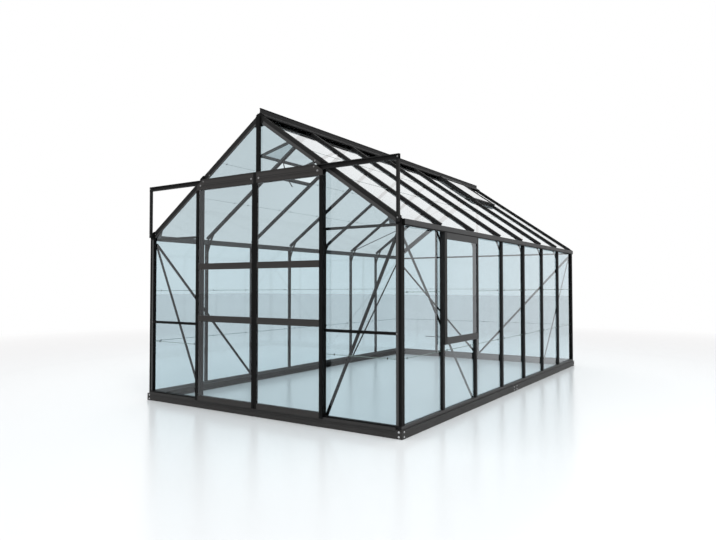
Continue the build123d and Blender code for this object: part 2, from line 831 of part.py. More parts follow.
def vent_stile_sketch(bay):
    """Two stiles, as seen square to the slope."""
    low_y, high_y = vent_edges(bay)
    rect_between(low_y, -vent_top_start, low_y + vent_rail, -vent_end)
    rect_between(high_y - vent_rail, -vent_top_start, high_y, -vent_end)


def vent_rail_sketch(bay):
    """Top and bottom rail between the stiles."""
    low_y, high_y = vent_edges(bay)
    rect_between(low_y + vent_rail, -vent_top_start, high_y - vent_rail, -vent_top_start - vent_rail)
    rect_between(low_y + vent_rail, -vent_end + vent_rail, high_y - vent_rail, -vent_end)


def vent_pane_sketch(bay):
    """Pane inside the frame."""
    low_y, high_y = vent_edges(bay)
    edge = vent_rail + glass_cushion
    rect_between(low_y + edge, -vent_top_start - edge, high_y - edge, -vent_end + edge)


def open_vent_piece(sketch, lift, depth):
    """Piece of the open vent, drawn closed on the right slope, swung open and mirrored."""
    with BuildPart() as closed:
        with BuildSketch(slope_face_right.offset(vent_lift_gap + lift)):
            sketch(open_bay)
        extrude(amount=depth)
    return mirror(closed.part.rotate(hinge_axis, -vent_open_angle), about=Plane.YZ)


def closed_vent_piece(sketch, lift, depth):
    """Piece of the closed vent on the right slope."""
    with BuildPart() as closed:
        with BuildSketch(slope_face_right.offset(vent_lift_gap + lift)):
            sketch(closed_bay)
        extrude(amount=depth)
    return closed.part


pane_lift = (vent_depth - glass_thickness) / 2
vent_pieces = {
    "vent_stiles": (vent_stile_sketch, 0, vent_depth),
    "vent_rails": (vent_rail_sketch, 0, vent_depth),
    "vent_glass": (vent_pane_sketch, pane_lift, glass_thickness),
}
open_pieces = {name: open_vent_piece(*parts) for name, parts in vent_pieces.items()}
closed_pieces = {name: closed_vent_piece(*parts) for name, parts in vent_pieces.items()}
for name in vent_pieces:
    with BuildPart() as vent_piece:
        add(open_pieces[name])
        add(closed_pieces[name])
    save(vent_piece, name)

with BuildPart() as vent_hinges:
    hinge_outline = [
        (ridge_wing_reach, slope_z(ridge_wing_reach, 0)),
        (ridge_wing_reach, slope_z(ridge_wing_reach, -vent_hinge_height)),
        slope_point(vent_top_start - vent_lift_gap, vent_hinge_height),
        slope_point(vent_top_start - vent_lift_gap, 0),
    ]
    low_y, high_y = vent_edges(closed_bay)
    with BuildSketch(Plane.XZ.offset(-high_y)):
        with BuildLine():
            Polyline(*hinge_outline, close=True)
        make_face()
    extrude(amount=high_y - low_y)
    low_y, high_y = vent_edges(open_bay)
    with BuildSketch(Plane.XZ.offset(-high_y)):
        with BuildLine():
            Polyline(*[(-x, z) for x, z in hinge_outline], close=True)
        make_face()
    extrude(amount=high_y - low_y)
save(vent_hinges, "vent_hinges")

with BuildPart() as vent_sills:
    sill_end = vent_end - vent_sill_lap
    closed_sill_plane = slope_face_right.offset(-groove_depth)
    open_sill_plane = Plane(
        origin=(-closed_sill_plane.origin.X, 0, closed_sill_plane.origin.Z),
        x_dir=(0, -1, 0), z_dir=(-slope_sin, 0, slope_cos),
    )
    half_opening = (side_pitch - cap_width) / 2
    with BuildSketch(closed_sill_plane):
        middle = (side_bar_lines[closed_bay - 1] + side_bar_lines[closed_bay]) / 2
        rect_between(middle - half_opening, -sill_end, middle + half_opening, -sill_end + vent_sill_width)
    extrude(amount=groove_depth)
    with BuildSketch(open_sill_plane):
        middle = -(side_bar_lines[open_bay - 1] + side_bar_lines[open_bay]) / 2
        rect_between(middle - half_opening, -sill_end, middle + half_opening, -sill_end + vent_sill_width)
    extrude(amount=groove_depth)
save(vent_sills, "vent_sills")


# ---------------------------------------------------------------- sliding doors
leaf_inner = door_gap / 2
leaf_outer = leaf_inner + leaf_width
leaf_front = -end_face - door_face
leaf_back = leaf_front + door_depth
door_top_rail_high = door_stile_top + door_top_rail
flange_back = leaf_front + door_top_flange


def cut_guide_groove():
    """Groove under the leaf that runs over the guide."""
    groove_z = door_bottom + guide_groove_height / 2
    with Locations(((leaf_inner + leaf_outer) / 2, guide_y, groove_z)):
        Box(leaf_width + door_gap, guide_groove, guide_groove_height, mode=Mode.SUBTRACT)


stile_inner = leaf_inner + door_meeting_stile
stile_outer = leaf_outer - door_stile
with BuildPart() as right_door_stiles:
    with BuildSketch(Plane.XY.offset(door_bottom)):
        rect_between(leaf_inner, leaf_front, stile_inner, leaf_front + door_meeting_depth)
        rect_between(stile_outer, leaf_front, leaf_outer, leaf_back)
    extrude(amount=door_stile_top - door_bottom)
    cut_guide_groove()

mid_half = door_mid_rail_width / 2
rail_levels = [
    (door_bottom, door_bottom + door_bottom_rail),
    (door_lower_rail - mid_half, door_lower_rail + mid_half),
    (door_upper_rail - mid_half, door_upper_rail + mid_half),
]
with BuildPart() as right_door_rails:
    with BuildSketch(Plane.XZ.offset(-leaf_back)):
        for low, high in rail_levels:
            rect_between(stile_inner, low, stile_outer, high)
    extrude(amount=door_depth)
    cut_guide_groove()
    with BuildSketch(Plane.YZ.offset(leaf_inner)):
        rect_between(leaf_front, door_stile_top, leaf_front + door_plate, door_top_rail_high)
        rect_between(leaf_front, door_stile_top, leaf_back, door_stile_top + section_wall)
        rect_between(leaf_front, door_top_rail_high - section_wall, flange_back, door_top_rail_high)
    extrude(amount=leaf_width)
    with BuildSketch(Plane.XZ.offset(-leaf_back)):
        with BuildLine():
            Polyline(
                (leaf_outer, door_top_rail_high), (leaf_outer, door_top_rail_high - door_corner_cut),
                (leaf_outer - door_corner_cut / slope_tan, door_top_rail_high),
                close=True,
            )
        make_face()
    extrude(amount=door_depth, mode=Mode.SUBTRACT)

with BuildPart() as right_door_glass:
    pane_levels = [
        (rail_levels[0][1], rail_levels[1][0]),
        (rail_levels[1][1], rail_levels[2][0]),
        (rail_levels[2][1], door_stile_top),
    ]
    pane_back = leaf_front + door_glass_setback + glass_thickness
    with BuildSketch(Plane.XZ.offset(-pane_back)):
        for low, high in pane_levels:
            rect_between(
                stile_inner + glass_cushion, low + glass_cushion,
                stile_outer - glass_cushion, high - glass_cushion,
            )
    extrude(amount=glass_thickness)

with BuildPart() as right_door_wheels:
    wheel_z = track_low + section_wall + wheel_seat_gap + wheel_diameter / 2
    wheel_front = -end_face - section_wall - wheel_back_gap - wheel_width
    plate_back = leaf_front + door_plate
    wheel_spots = [(leaf_inner + wheel_from_edge, wheel_z), (leaf_outer - wheel_from_edge, wheel_z)]
    with BuildSketch(Plane.XZ.offset(-wheel_front - wheel_width)):
        with Locations(*wheel_spots):
            Circle(wheel_diameter / 2)
    extrude(amount=wheel_width)
    with BuildSketch(Plane.XZ.offset(-wheel_front)):
        with Locations(*wheel_spots):
            Circle(axle_diameter / 2)
    extrude(amount=wheel_front - plate_back)

right_leaf = {
    "door_stiles": right_door_stiles,
    "door_rails": right_door_rails,
    "door_glass": right_door_glass,
    "door_wheels": right_door_wheels,
}
for name, piece in right_leaf.items():
    save(piece, "right_" + name)
    with BuildPart() as left_piece:
        mirror(piece.part, about=Plane.YZ)
    save(left_piece, "left_" + name)
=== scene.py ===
from math import atan2, cos, pi, radians, sin, tan

import bmesh
import bpy
from mathutils import Matrix, Vector


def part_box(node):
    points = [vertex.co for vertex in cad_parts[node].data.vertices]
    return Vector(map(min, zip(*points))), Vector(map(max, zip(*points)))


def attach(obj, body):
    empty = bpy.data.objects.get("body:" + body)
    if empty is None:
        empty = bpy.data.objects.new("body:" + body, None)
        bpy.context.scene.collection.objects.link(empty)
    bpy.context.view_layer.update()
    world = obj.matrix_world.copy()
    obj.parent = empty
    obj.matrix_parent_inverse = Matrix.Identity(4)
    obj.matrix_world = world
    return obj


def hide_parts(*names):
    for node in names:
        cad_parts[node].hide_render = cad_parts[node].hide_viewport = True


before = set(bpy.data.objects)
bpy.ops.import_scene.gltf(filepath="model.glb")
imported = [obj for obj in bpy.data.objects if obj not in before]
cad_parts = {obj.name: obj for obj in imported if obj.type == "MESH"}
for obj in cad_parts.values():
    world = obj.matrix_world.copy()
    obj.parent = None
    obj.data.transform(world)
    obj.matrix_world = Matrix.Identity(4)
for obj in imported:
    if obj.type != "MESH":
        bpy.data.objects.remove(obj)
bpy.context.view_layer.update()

scene = bpy.context.scene
scene.view_settings.view_transform = "Standard"
scene.cycles.transparent_max_bounces = 40  # a low line of sight crosses many panes


# ---------------------------------------------------------------- camera
eye = bpy.data.objects.new("eye", bpy.data.cameras.new("eye"))
scene.collection.objects.link(eye)
eye.location = (3.226, -5.70925, 1.002)
eye.rotation_euler = (radians(91.538), 0, radians(33.257))
eye.data.sensor_width = 36
eye.data.lens = 30.5
eye.data.clip_end = 200
scene.camera = eye


# ---------------------------------------------------------------- material helpers
def new_material(name):
    """Empty node material and its tree."""
    material = bpy.data.materials.new(name)
    material.use_nodes = True
    tree = material.node_tree
    tree.nodes.clear()
    return material, tree


def add_node(tree, kind, inputs=(), **settings):
    """Node of a kind with its inputs set to values or linked to other nodes' outputs."""
    node = tree.nodes.new("ShaderNode" + kind)
    for key, value in settings.items():
        setattr(node, key, value)
    for key, value in dict(inputs).items():
        if isinstance(value, bpy.types.NodeSocket):
            tree.links.new(value, node.inputs[key])
        else:
            node.inputs[key].default_value = value
    return node


def object_place(tree):
    """Object coordinates."""
    return add_node(tree, "TexCoord").outputs["Object"]


def work_out(tree, operation, first, second):
    """Result of one sum on two values or sockets."""
    return add_node(tree, "Math", {0: first, 1: second}, operation=operation).outputs["Value"]


def two_tone(tree, amount, first, second, start=0.0, end=1.0):
    """Colour that runs from first to second as amount goes from start to end."""
    ramp = add_node(tree, "ValToRGB", {"Fac": amount})
    stops = ramp.color_ramp.elements
    stops[0].position = start
    stops[0].color = (*first, 1)
    stops[1].position = end
    stops[1].color = (*second, 1)
    return ramp.outputs["Color"]


def powder_coat(name, shade, tint, roughness, gloss, grain=900.0):
    """Powder coat: fine orange peel, and a faint drift of shade over each length."""
    material, tree = new_material(name)
    place = object_place(tree)
    peel = add_node(tree, "TexNoise", {"Vector": place, "Scale": grain, "Detail": 2.0})
    drift = add_node(tree, "TexNoise", {"Vector": place, "Scale": 2.3, "Detail": 3.0})
    start, end = 0.3, 0.7
    darker = [part * shade * 0.92 for part in tint]
    lighter = [part * shade * 1.08 for part in tint]
    rough = add_node(tree, "MapRange", {
        "Value": drift.outputs["Fac"], "From Min": start, "From Max": end,
        "To Min": roughness - 0.05, "To Max": roughness + 0.05,
    })
    bump = add_node(tree, "Bump", {
        "Height": peel.outputs["Fac"], "Strength": 0.12, "Distance": 0.0004,
    })
    shader = add_node(tree, "BsdfPrincipled", {
        "Base Color": two_tone(tree, drift.outputs["Fac"], darker, lighter, start, end),
        "Roughness": rough.outputs["Result"],
        "Normal": bump.outputs["Normal"],
        "Specular IOR Level": gloss,
    })
    add_node(tree, "OutputMaterial", {"Surface": shader.outputs["BSDF"]})
    return material


def bright_zinc(name, shade):
    """Zinc plated steel with a light spangle."""
    material, tree = new_material(name)
    spangle = add_node(tree, "TexVoronoi", {"Vector": object_place(tree), "Scale": 600.0})
    light = (shade, shade, shade)
    dark = (shade * 0.78, shade * 0.79, shade * 0.81)
    shader = add_node(tree, "BsdfPrincipled", {
        "Base Color": two_tone(tree, spangle.outputs["Distance"], light, dark),
        "Metallic": 0.9, "Roughness": 0.34,
    })
    add_node(tree, "OutputMaterial", {"Surface": shader.outputs["BSDF"]})
    return material


def glazing(name, tint, shine, mirror, grazing, power, start=0.0, end=1.0):
    """Float glass: a tinted pane that mirrors more the flatter it is seen.

    The mirrored share goes from mirror, seen head on, to grazing, seen edge on,
    as the facing angle raised to a power goes from start to end.
    """
    material, tree = new_material(name)
    place = object_place(tree)
    facing = add_node(tree, "LayerWeight", {"Blend": 0.5}).outputs["Facing"]
    share = add_node(tree, "MapRange", {
        "Value": work_out(tree, "POWER", facing, power), "From Min": start, "From Max": end,
        "To Min": mirror, "To Max": grazing,
    }, interpolation_type="SMOOTHSTEP" if start else "LINEAR")
    back = add_node(tree, "NewGeometry").outputs["Backfacing"]
    front = work_out(tree, "SUBTRACT", 1.0, back)
    drift = add_node(tree, "TexNoise", {"Vector": place, "Scale": 1.1, "Detail": 1.0})
    darker = [part * 0.99 for part in tint]
    lighter = [min(part * 1.01, 1) for part in tint]
    wave = add_node(tree, "TexNoise", {"Vector": place, "Scale": 1.6, "Detail": 0.0})
    bump = add_node(tree, "Bump", {
        "Height": wave.outputs["Fac"], "Strength": 0.1, "Distance": 0.002,
    })
    clear = add_node(tree, "BsdfTransparent", {
        "Color": two_tone(tree, drift.outputs["Fac"], darker, lighter, 0.35, 0.65),
    })
    gloss = add_node(tree, "BsdfGlossy", {
        "Color": (*shine, 1), "Roughness": 0.03, "Normal": bump.outputs["Normal"],
    })
    mix = add_node(tree, "MixShader", {
        "Fac": work_out(tree, "MULTIPLY", share.outputs["Result"], front),
        1: clear.outputs["BSDF"], 2: gloss.outputs["BSDF"],
    })
    add_node(tree, "OutputMaterial", {"Surface": mix.outputs["Shader"]})
    return material


# ---------------------------------------------------------------- finishes
# shade, tint, roughness, gloss and, where it is coarser, grain
black_coat = powder_coat("black powder coat", 0.0045, (1.0, 1.0, 1.0), 0.5, 0.07)
dark_coat = powder_coat("dark powder coat", 0.014, (1.0, 1.0, 1.02), 0.48, 0.12)
brown_coat = powder_coat("brown black powder coat", 0.030, (1.06, 1.0, 0.97), 0.5, 0.16)
plinth_coat = powder_coat("plinth powder coat", 0.030, (1.04, 1.0, 0.98), 0.5, 0.16)
window_coat = powder_coat("window powder coat", 0.042, (1.0, 1.0, 1.02), 0.5, 0.2)
edging_coat = powder_coat("edging powder coat", 0.050, (1.0, 1.0, 1.0), 0.5, 0.2)
verge_coat = powder_coat("verge powder coat", 0.010, (1.0, 1.0, 1.0), 0.5, 0.14)
stile_coat = powder_coat("stile powder coat", 0.014, (1.0, 1.0, 1.0), 0.5, 0.16)
plate_coat = powder_coat("gusset powder coat", 0.09, (1.0, 1.0, 1.02), 0.5, 0.25)
nylon = powder_coat("black nylon", 0.010, (1.0, 1.0, 1.0), 0.4, 0.2)
rubber = powder_coat("black rubber", 0.008, (1.0, 1.0, 1.0), 0.75, 0.1, 400.0)
cut_edge = powder_coat("green glass edge", 0.20, (0.72, 1.0, 0.93), 0.25, 0.4, 60.0)
zinc = bright_zinc("bright zinc", 0.62)
header_steel = bright_zinc("dull zinc", 0.30)
clip_steel = bright_zinc("clip steel", 0.04)
wall_glass = glazing(
    "float glass", tint=(0.845, 0.896, 0.914), shine=(0.94, 0.975, 1.0),
    mirror=0.048, grazing=0.9, power=3.4,
)
roof_glass = glazing(
    "roof float glass", tint=(0.830, 0.857, 0.867), shine=(0.97, 0.98, 0.985),
    mirror=0.04, grazing=0.88, power=1.0, start=0.62, end=0.93,
)

FINISHES = (
    (roof_glass, ("roof_glass_left", "roof_glass_right", "vent_glass")),
    (wall_glass, (
        "left_wall_glass", "right_wall_glass", "front_gable_glass", "back_gable_glass",
        "left_door_glass", "right_door_glass", "side_window_glass",
    )),
    (plinth_coat, ("side_plinths", "gable_plinths", "door_guide")),
    (nylon, ("left_door_wheels", "right_door_wheels")),
    (plate_coat, ("apex_gussets", "eave_gussets", "side_window_surround")),
    (brown_coat, ("left_door_rails", "right_door_rails")),
    (window_coat, ("side_window_rails", "gutters")),
    (stile_coat, ("side_window_stiles",)),
    (edging_coat, ("side_sills",)),
    (verge_coat, ("verge_bars", "track_struts", "gable_sills")),
    (dark_coat, (
        "side_bars_right", "ridge", "door_track", "roof_bars_left", "roof_bars_right",
        "vent_hinges", "vent_rails", "vent_sills", "vent_stiles",
    )),
)
finish_of = {name: finish for finish, names in FINISHES for name in names}
for name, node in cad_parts.items():
    node.data.materials.clear()
    node.data.materials.append(finish_of.get(name, black_coat))


# ---------------------------------------------------------------- shaping helpers
def as_mesh(shape, name):
    """Mesh of a finished shape."""
    mesh = bpy.data.meshes.new(name)
    shape.to_mesh(mesh)
    shape.free()
    return mesh


def keep_piece(shape, name, body, slot, finish, *stands_for):
    """Turn a finished shape into a piece that rides on a body."""
    bmesh.ops.recalc_face_normals(shape, faces=shape.faces)
    mesh = as_mesh(shape, name)
    mesh.materials.append(finish)
    piece = bpy.data.objects.new(name, mesh)
    scene.collection.objects.link(piece)
    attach(piece, body)
    if stands_for:
        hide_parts(*stands_for)


def add_strip(shape, low, high, easing, place=Matrix()):
    """Straight strip between two corners with its edges eased."""
    low, high = Vector(low), Vector(high)
    made = bmesh.ops.create_cube(shape, size=1.0)["verts"]
    bmesh.ops.scale(shape, vec=high - low, verts=made)
    bmesh.ops.translate(shape, vec=(low + high) / 2, verts=made)
    bmesh.ops.transform(shape, matrix=place, verts=made)
    edges = list(dict.fromkeys(edge for vert in made for edge in vert.link_edges))
    bmesh.ops.bevel(
        shape, geom=edges, offset=easing, offset_type="OFFSET", segments=1,
        profile=0.5, affect="EDGES", material=-1,
    )


def turn_shape(name, outline, steps):
    """Mesh turned about the Z axis from (radius, height) points."""
    shape = bmesh.new()
    points = [shape.verts.new((radius, 0, height)) for radius, height in outline]
    lines = [shape.edges.new(pair) for pair in zip(points, points[1:])]
    bmesh.ops.spin(
        shape, geom=points + lines, cent=(0, 0, 0), axis=(0, 0, 1), dvec=(0, 0, 0),
        angle=2 * pi, steps=steps, use_merge=True,
    )
    bmesh.ops.remove_doubles(shape, verts=shape.verts, dist=1e-5)
    bmesh.ops.recalc_face_normals(shape, faces=shape.faces)
    return as_mesh(shape, name)


BOLT_OUTLINE = (
    # radius and height in parts of the bolt's own, from its buried foot to its socket
    (0, -0.2), (1.0, -0.2), (1.0, 0.22), (0.94, 0.30), (0.70, 0.30),
    (0.66, 0.70), (0.46, 1.0), (0.24, 1.0), (0.20, 0.6), (0, 0.6),
)
bolt_head = turn_shape("bolt_head", BOLT_OUTLINE, 10)


def add_bolt(shape, spot, out, radius, height):
    """Domed bolt head with its socket and washer, on a face that looks along out."""
    before = set(shape.verts)
    shape.from_mesh(bolt_head)
    made = [vert for vert in shape.verts if vert not in before]
    turn = Vector(out).to_track_quat("Z", "Y").to_matrix().to_4x4()
    size = Matrix.Diagonal((radius, radius, height, 1))
    bmesh.ops.transform(shape, matrix=Matrix.Translation(spot) @ turn @ size, verts=made)


def span(side, near, far):
    """Lowest and highest x of a stretch on one side, from its distances to the middle."""
    return sorted((side * near, side * far))


# ---------------------------------------------------------------- lines of the frame
SIDES = (-1, 1)
FRONT, BACK = (0, -1, 0), (0, 1, 0)
PITCH = radians(35)
CAP_HALF = 0.014
JAMB_HALF = 0.018
PANE_THICKNESS = 0.004
SIDE_BARS = 6
WINDOW_BAY = 1
VENT_BAYS = {-1: 1, 1: 5}

apex_low, apex_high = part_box("apex_gussets")
bars_low, bars_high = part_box("side_bars_right")
ends_low, ends_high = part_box("gable_plinths")
gutter_low, gutter_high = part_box("gutters")
jamb_low, jamb_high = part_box("front_gable_bars")
mid_low, mid_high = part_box("gable_mid_rails")
post_low, post_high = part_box("corner_posts")
slope_low, slope_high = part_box("roof_glass_right")
track_low, track_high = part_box("door_track")
verge_low, verge_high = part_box("verge_bars")
wall_low, wall_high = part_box("right_wall_glass")
window_low, window_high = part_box("side_window_rails")
plinth_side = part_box("side_plinths")[1].x
front_glass_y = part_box("front_gable_glass")[0].y
back_glass_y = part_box("back_gable_glass")[1].y

side_pitch = (bars_high.y - bars_low.y - 2 * CAP_HALF) / (SIDE_BARS - 1)
side_lines = [bars_low.y + CAP_HALF + side_pitch * n for n in range(SIDE_BARS)]
wall_lines = [side_lines[0] - side_pitch] + side_lines + [side_lines[-1] + side_pitch]
gable_pitch = jamb_high.x - JAMB_HALF
gable_lines = [gable_pitch * n for n in range(-2, 3)]
slope_length = (slope_high.x - slope_low.x) / cos(PITCH)


def clear_bays(lines):
    """Clear ends of each bay between neighbouring bar lines."""
    return [(a + CAP_HALF, b - CAP_HALF) for a, b in zip(lines, lines[1:])]


def upright(origin, across, out):
    """Frame on an upright wall: X across, Y up and Z outwards."""
    place = Matrix((Vector(across), Vector((0, 0, 1)), Vector(out))).transposed().to_4x4()
    place.translation = Vector(origin)
    return place


def slope_place(side):
    """Frame on a roof slope: X up the slope from the panes' lower edge, Y along, Z outwards."""
    up = Vector((-side * cos(PITCH), 0, sin(PITCH)))
    out = Vector((side * sin(PITCH), 0, cos(PITCH)))
    place = Matrix((up, Vector((0, 1, 0)), out)).transposed().to_4x4()
    foot = slope_low.z + PANE_THICKNESS * cos(PITCH)
    place.translation = Vector((side * slope_high.x, 0, foot))
    return place


# ---------------------------------------------------------------- glazing strips, laps and clips
SEAL_WIDTH = 0.0035
SEAL_SUNK, SEAL_PROUD = -0.0002, 0.0012
SEAL_EASING = 0.0003
LAP_HALF, ROOF_LAP_HALF = 0.002, 0.001
CLIP_INSET = 0.075
CLIP_HALF = 0.004
CLIP_BELOW, CLIP_ABOVE = 0.006, 0.008
CLIP_PROUD = 0.0024
SILL_TOP = 0.083
WALL_LAPS = (0.518, 0.963)
WINDOW_MARGIN = 0.006
GABLE_PANE_EDGE = 1.2325
GABLE_PANE_TOP = 1.40
MID_RAIL_FOOT, MID_RAIL_TOP = 0.677, 0.699
ROOF_LAPS = (0.555, 0.987)
ROOF_PANE_FOOT = 0.02
ROOF_END_MARGIN = 0.006
VENT_FOOT = 0.945
ACROSS_FIRST = Matrix(((0, 1, 0, 0), (1, 0, 0, 0), (0, 0, 1, 0), (0, 0, 0, 1)))

seals = bmesh.new()
laps = bmesh.new()
clips = bmesh.new()


def dress_pane(place, start, end, foot, top, lap_rows, lap_half=LAP_HALF):
    """Seals up both sides of one bay, and laps with clips across it.

    In place, X runs across the bay, Y up the pane and Z out of it.
    """
    for edge in (start, end - SEAL_WIDTH):
        add_strip(
            seals, (edge, foot, SEAL_SUNK), (edge + SEAL_WIDTH, top, SEAL_PROUD),
            SEAL_EASING, place,
        )
    for row in lap_rows:
        add_strip(
            laps, (start + SEAL_WIDTH, row - lap_half, SEAL_SUNK),
            (end - SEAL_WIDTH, row + lap_half, SEAL_PROUD), SEAL_EASING, place,
        )
        for middle in (start + CLIP_INSET, end - CLIP_INSET):
            add_strip(
                clips, (middle - CLIP_HALF, row - CLIP_BELOW, 0.0),
                (middle + CLIP_HALF, row + CLIP_ABOVE, CLIP_PROUD), 0.0006, place,
            )


for side in SIDES:
    place = upright((side * wall_high.x, 0, 0), (0, 1, 0), (side, 0, 0))
    for bay, (start, end) in enumerate(clear_bays(wall_lines)):
        windowed = side > 0 and bay == WINDOW_BAY
        top = window_low.z - WINDOW_MARGIN if windowed else gutter_low.z
        start, end = max(start, wall_low.y), min(end, wall_high.y)
        dress_pane(place, start, end, SILL_TOP, top, [row for row in WALL_LAPS if row < top])

place = upright((0, back_glass_y, 0), (1, 0, 0), BACK)
for start, end in clear_bays(gable_lines):
    start, end = max(start, -GABLE_PANE_EDGE), min(end, GABLE_PANE_EDGE)
    dress_pane(place, start, end, SILL_TOP, GABLE_PANE_TOP, WALL_LAPS)

place = upright((0, front_glass_y, 0), (1, 0, 0), FRONT)
for start, end in ((-GABLE_PANE_EDGE, jamb_low.x), (jamb_high.x, GABLE_PANE_EDGE)):
    dress_pane(place, start, end, SILL_TOP, MID_RAIL_FOOT, WALL_LAPS[:1])
    dress_pane(place, start, end, MID_RAIL_TOP, GABLE_PANE_TOP, ())

for side in SIDES:
    place = slope_place(side) @ ACROSS_FIRST
    for bay, (start, end) in enumerate(clear_bays(wall_lines)):
        top = VENT_FOOT if bay == VENT_BAYS[side] else slope_length - 0.02
        start = max(start, slope_low.y + ROOF_END_MARGIN)
        end = min(end, slope_high.y - ROOF_END_MARGIN)
        rows = [row for row in ROOF_LAPS if row < top]
        dress_pane(place, start, end, ROOF_PANE_FOOT, top, rows, ROOF_LAP_HALF)

keep_piece(seals, "glazing_strips", "frame", "frame_aluminium", rubber)
keep_piece(laps, "pane_laps", "frame", "glass", cut_edge)
keep_piece(clips, "pane_clips", "frame", "frame_aluminium", clip_steel)


# ---------------------------------------------------------------- plinth dressing
SWAGES = ((0.0315, 0.0345, 0.0011), (0.0565, 0.0595, 0.0014))  # lowest, highest, how proud
SWAGE_SUNK = 0.0005
PLINTH_EASING = 0.0005
CORNER_BOLT_INSET = 0.026
CORNER_BOLT_ROWS = (0.015, 0.047)
CORNER_BOLT_RADIUS = 0.0075
SPLICE_HALF = 0.06
SPLICE_SUNK, SPLICE_PROUD = 0.001, 0.0018
SPLICE_PLATES = ((0.004, 0.0295), (0.036, 0.0555))
SPLICE_BOLT_SPOTS = [(y, z) for y in (-0.04, 0.04) for z in (0.016, 0.046)]

swages = bmesh.new()
for low, high, proud in SWAGES:
    for side in SIDES:
        inner, outer = span(side, plinth_side - SWAGE_SUNK, plinth_side + proud)
        add_strip(swages, (inner, ends_low.y, low), (outer, ends_high.y, high), PLINTH_EASING)
    add_strip(
        swages, (-plinth_side, ends_low.y - proud, low),
        (plinth_side, ends_low.y + SWAGE_SUNK, high), PLINTH_EASING,
    )
keep_piece(swages, "plinth_swages", "frame", "plinth_steel", plinth_coat)

plinth_bolts = bmesh.new()
for side in SIDES:
    for z in CORNER_BOLT_ROWS:
        spot = (side * (plinth_side - CORNER_BOLT_INSET), ends_low.y, z)
        add_bolt(plinth_bolts, spot, FRONT, CORNER_BOLT_RADIUS, 0.004)
        for y in (ends_low.y + CORNER_BOLT_INSET, ends_high.y - CORNER_BOLT_INSET):
            spot = (side * plinth_side, y, z)
            add_bolt(plinth_bolts, spot, (side, 0, 0), CORNER_BOLT_RADIUS, 0.0038)

splices = bmesh.new()
for side in SIDES:
    inner, outer = span(side, plinth_side - SPLICE_SUNK, plinth_side + SPLICE_PROUD)
    for low, high in SPLICE_PLATES:
        add_strip(splices, (inner, -SPLICE_HALF, low), (outer, SPLICE_HALF, high), PLINTH_EASING)
    for y, z in SPLICE_BOLT_SPOTS:
        spot = (side * (plinth_side + SPLICE_PROUD), y, z)
        add_bolt(plinth_bolts, spot, (side, 0, 0), 0.0065, 0.0028)
keep_piece(splices, "plinth_splices", "frame", "plinth_steel", plinth_coat)
keep_piece(plinth_bolts, "plinth_bolts", "frame", "plinth_steel", zinc)


# ---------------------------------------------------------------- track ends and frame bolts
VERGE_EDGING_PROUD = 0.0012
POST_EDGING_PROUD = 0.0010
VERGE_BOLT_X = 0.548
POST_BOLT_X = 1.24
EAVE_BOLT_INSET = 0.026
TRACK_BOLT_INSET = 0.012
TRACK_PLATE_NEAR, TRACK_PLATE_FAR = 0.0235, 0.0005
TRACK_PLATE_DEPTH = 0.003
TRACK_PLATE_MARGIN = 0.002
APEX_BOLT_X = 0.042
APEX_PLATE = 0.003

track_ends = bmesh.new()
for side in SIDES:
    inner, outer = span(side, track_high.x - TRACK_PLATE_NEAR, track_high.x - TRACK_PLATE_FAR)
    add_strip(
        track_ends, (inner, track_low.y, track_low.z + TRACK_PLATE_MARGIN),
        (outer, track_low.y + TRACK_PLATE_DEPTH, track_high.z - TRACK_PLATE_MARGIN), 0.0004,
    )
keep_piece(track_ends, "track_end_plates", "frame", "frame_aluminium", black_coat)


def below_verge(x, drop):
    """Height a drop below the verge bars' top line at x."""
    return verge_high.z - abs(x) * tan(PITCH) - drop


frame_bolts = bmesh.new()
for side in SIDES:
    x = side * VERGE_BOLT_X
    spot = (x, verge_low.y - VERGE_EDGING_PROUD, below_verge(x, 0.052))
    add_bolt(frame_bolts, spot, FRONT, 0.007, 0.003)
    x = side * (verge_high.x - EAVE_BOLT_INSET)
    add_bolt(frame_bolts, (x, verge_low.y, below_verge(x, 0.030)), FRONT, 0.006, 0.003)
for side in SIDES:
    x = side * (track_high.x - TRACK_BOLT_INSET)
    middle = (track_low.z + track_high.z) / 2
    add_bolt(frame_bolts, (x, track_low.y, middle), FRONT, 0.006, 0.004)
    add_bolt(frame_bolts, (x, track_low.y, gutter_high.z + 0.002), FRONT, 0.0055, 0.004)
for side in SIDES:
    middle = (mid_low.z + mid_high.z) / 2
    spot = (side * POST_BOLT_X, post_low.y - POST_EDGING_PROUD, middle)
    add_bolt(frame_bolts, spot, FRONT, 0.0055, 0.0035)
for y, out in ((apex_low.y + APEX_PLATE, BACK), (apex_high.y - APEX_PLATE, FRONT)):
    for x in (-APEX_BOLT_X, APEX_BOLT_X):
        add_bolt(frame_bolts, (x, y, apex_low.z + 0.014), out, 0.006, 0.003)
    add_bolt(frame_bolts, (0, y, apex_high.z - 0.02), out, 0.006, 0.003)
keep_piece(frame_bolts, "frame_bolts", "frame", "frame_aluminium", header_steel)


# ---------------------------------------------------------------- verge and post edging
EDGING_SUNK = 0.0003
EDGING_EASING = 0.0004
VERGE_EDGING_START, VERGE_EDGING_SHORT = 0.010, 0.06
VERGE_EDGING_LOW = -0.0382
VERGE_EDGING_HIGH = {-1: -0.0250, 1: -0.0135}
POST_EDGING_INNER, POST_EDGING_OUTER = 1.2328, 1.2520
POST_EDGING_FOOT = 0.084


def outer_faces(front, back, proud):
    """Depths in y of a thin strip on a front face and on a back face."""
    return ((front - proud, front + EDGING_SUNK), (back - EDGING_SUNK, back + proud))


